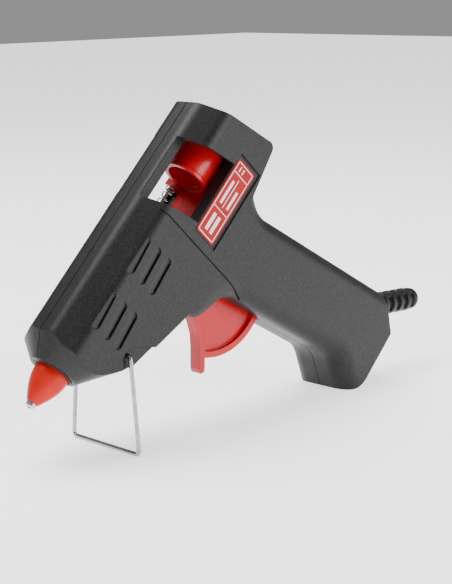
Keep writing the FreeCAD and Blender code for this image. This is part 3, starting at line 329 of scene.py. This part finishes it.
reliefSettings = {"ribs": 6, "first": 1.4, "tail": 3.6, "rib": 4.65, "floor": 3.0, "ring": 0.46,
                  "neck": 3.9, "collar": 5.5, "bore": 1.9, "round": 0.35, "web": 0.62,
                  "webEdge": 0.12, "steps": 120}
reliefStep = (gunSettings["reliefLength"] - reliefSettings["first"]
              - reliefSettings["tail"]) / reliefSettings["ribs"]


def reliefProfile():  # collar inside the grip, neck, ribs and a rounded end
    s = reliefSettings
    collar, rib, low, bore = s["collar"], s["rib"], s["floor"], s["bore"]
    points = [(-5, bore), (-5, collar - 0.2), (-4.8, collar), (-3.6, collar),
              (-3.4, collar - 0.2), (-3.35, s["neck"]), (s["first"] - 0.1, s["neck"])]
    for number in range(s["ribs"]):
        start = s["first"] + reliefStep * number
        stop = start + reliefStep * s["ring"]
        after = start + reliefStep
        points += [(start, rib - s["round"]), (start + 0.12, rib - 0.1), (start + 0.4, rib),
                   (stop - 0.4, rib), (stop - 0.12, rib - 0.1), (stop, rib - s["round"]),
                   (stop + 0.05, low + 0.1), (stop + 0.4, low), (after - 0.4, low),
                   (after - 0.05, low + 0.1)]
    last = s["first"] + reliefStep * s["ribs"]
    end = gunSettings["reliefLength"]
    points += [(last, rib - 0.5), (last + 0.25, rib - 0.3), (end - 1.6, rib - 0.55),
               (end - 0.8, rib - 1.0), (end - 0.25, rib - 1.6), (end, 2.5), (end, bore)]
    return points


def reliefWebs(x, radius, angle):  # webs along the top and the bottom join the ribs
    s = reliefSettings
    inSlot = s["first"] < x < gunSettings["reliefLength"] - 2 and 2.6 < radius < s["floor"] + 0.2
    if not inSlot:
        return radius
    rise = min(max((abs(math.sin(angle)) - s["web"]) / s["webEdge"], 0.0), 1.0)
    return radius + (s["rib"] - 0.25 - radius) * rise


sleeve = finish("strainRelief", turned(reliefProfile(), relief, reliefSettings["steps"],
                                       reliefWebs), "black_rubber")
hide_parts("strain_relief")


springSettings = {"radius": 1.75, "wire": 0.3, "turns": 9, "front": 67.8, "rear": 96.0,
                  "across": 9.7, "up": -4.9, "around": 10, "perTurn": 28, "endGap": 0.06,
                  "closedPitch": 2.1, "keep": 0.665}


def coilSpring():  # one closed turn at each end and even turns between
    s = springSettings
    mesh = bmesh.new()
    low = s["front"] + s["wire"] + s["endGap"]
    high = s["rear"] - s["wire"] - s["endGap"]
    closed = s["wire"] * s["closedPitch"]
    ring = bmesh.ops.create_circle(mesh, segments=s["around"], radius=s["wire"],
                                   matrix=Matrix.Translation((low, s["radius"], 0)))["verts"]
    end = ring + list({edge for vert in ring for edge in vert.link_edges})
    for turns, rise in ((1, closed), (s["turns"], high - low - 2 * closed), (1, closed)):
        steps = turns * s["perTurn"]
        end = bmesh.ops.spin(mesh, geom=end, cent=(0, 0, 0), axis=(1, 0, 0),
                             dvec=(rise / steps, 0, 0), angle=2 * math.pi * turns,
                             steps=steps)["geom_last"]
    bmesh.ops.holes_fill(mesh, edges=[edge for edge in mesh.edges if edge.is_boundary])
    place = barrel @ Matrix.Scale(mm, 4) @ Matrix.Translation((0, s["across"], s["up"]))
    bmesh.ops.transform(mesh, matrix=place, verts=mesh.verts)
    return mesh


spring = finish("returnSpring", coilSpring(), "spring_steel")
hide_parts("return_spring")
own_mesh(spring)


labelSettings = {"length": 30.5, "width": 10.0, "ink": 0.03, "line": 0.3, "margin": 0.7}


def labelCorner():  # the label's corner nearest nozzle and spine, with X along the label
    s = labelSettings
    low, high = (Vector(corner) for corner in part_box("label"))
    lean = math.radians(gunSettings["lean"])
    along = Vector((math.cos(lean), 0, math.sin(lean)))
    down = Vector((math.sin(lean), 0, -math.cos(lean)))
    corner = (low + high) / 2 - (along * s["length"] + down * s["width"]) * mm / 2
    corner.y = low.y
    turn = Matrix((along, down, Vector((0, -1, 0)))).transposed().to_4x4()
    return Matrix.Translation(corner) @ turn @ Matrix.Scale(mm, 4)


def labelRules():  # a thin border, two dividers and a few plain rules, as (x, y, width, height)
    s = labelSettings
    a, line, length, width = s["margin"], s["line"], s["length"], s["width"]
    bars = [(a, a, length - 2 * a, line), (a, width - a - line, length - 2 * a, line),
            (a, a, line, width - 2 * a), (length - a - line, a, line, width - 2 * a),
            (11.2, a, line, width - 2 * a), (25.6, a, line, width - 2 * a),
            (12.6, width / 2 - line / 2, 11.8, line)]
    bars += [(13.4, 2.6, 9.4, 1.1), (13.4, 6.6, 7.4, 1.1), (2.6, 3.0, 6.8, 1.5),
             (2.6, 5.6, 6.8, 1.5), (26.7, 2.6, 2.0, 0.5), (26.7, 4.4, 2.0, 0.5)]
    mesh = bmesh.new()
    for x, y, across, tall in bars:
        scaled = Matrix.Diagonal((across, tall, s["ink"], 1.0))
        middle = Matrix.Translation((x + across / 2, y + tall / 2, s["ink"] / 2))
        bmesh.ops.create_cube(mesh, size=1.0, matrix=labelCorner() @ middle @ scaled)
    return mesh


finish("labelRules", labelRules(), "label_print", whiteInk, False)
print("pieces ready")


# Pale matt paper that glows a little, so that it stays near white behind the black gun.
paper, paperSurface = newMaterial("pale backdrop paper", Roughness=0.85, Specular_IOR_Level=0.1,
                                  Emission_Color=(1.0, 1.0, 1.0, 1.0), Emission_Strength=1.3)
fibre = add(paper, "TexNoise", Vector=add(paper, "TexCoord")["Object"], Scale=1 / (0.8 * mm),
            Detail=4.0)["Fac"]
tune(paperSurface, Base_Color=add(paper, "ValToRGB", Fac=fibre,
                                  stops=((0.3, "#f6f6f6"), (0.7, "#fafafa")))[0])
stageSettings = {"floor": 6.0, "skyStrength": 0.3}
bpy.ops.mesh.primitive_plane_add(size=stageSettings["floor"], location=(0, 0, 0))
floor = bpy.context.object
floor.name = "backdropFloor"
floor.data.materials.append(paper)

world = bpy.data.worlds.new("studio")
world.use_nodes = True
tune(world.node_tree.nodes["Background"], Color=(1.0, 1.0, 1.0, 1.0),
     Strength=stageSettings["skyStrength"])
scene.world = world

softboxes = {
    "overheadSoftbox": {"at": (-0.1, 0.25, 0.9), "aim": (0, 0, 0.05), "size": (0.8, 0.6),
                        "watts": 15.0},
    "frontSoftbox": {"at": (0.45, -0.9, 0.35), "aim": (0, 0, 0.06), "size": (0.5, 0.6),
                     "watts": 8.0},
}
for name, box in softboxes.items():
    light = bpy.data.lights.new(name, "AREA")
    light.shape = "RECTANGLE"
    light.size, light.size_y = box["size"]
    light.energy = box["watts"]
    lamp = bpy.data.objects.new(name, light)
    scene.collection.objects.link(lamp)
    lamp.location = box["at"]
    lamp.rotation_euler = (Vector(box["aim"]) - lamp.location).to_track_quat("-Z", "Y").to_euler()

cameraSettings = {"lens": 93.1, "sensor": 36.0, "near": 0.01,
                  "fromTip": (-281.03, -381.98, 133.20),
                  "azimuth": -44.11, "elevation": 11.57, "roll": -0.84}
camera = bpy.data.objects.new("camera", bpy.data.cameras.new("camera"))
scene.collection.objects.link(camera)
scene.camera = camera
camera.data.lens = cameraSettings["lens"]
camera.data.sensor_width = cameraSettings["sensor"]
camera.data.sensor_fit = "AUTO"
camera.data.clip_start = cameraSettings["near"]
camera.location = tip + Vector(cameraSettings["fromTip"]) * mm
around = math.radians(cameraSettings["azimuth"])
above = math.radians(cameraSettings["elevation"])
back = Vector((math.sin(around) * math.cos(above), -math.cos(around) * math.cos(above),
               math.sin(above)))
roll = Quaternion((0, 0, 1), math.radians(cameraSettings["roll"]))
camera.rotation_mode = "QUATERNION"
camera.rotation_quaternion = (-back).to_track_quat("-Z", "Y") @ roll
print("setting ready")
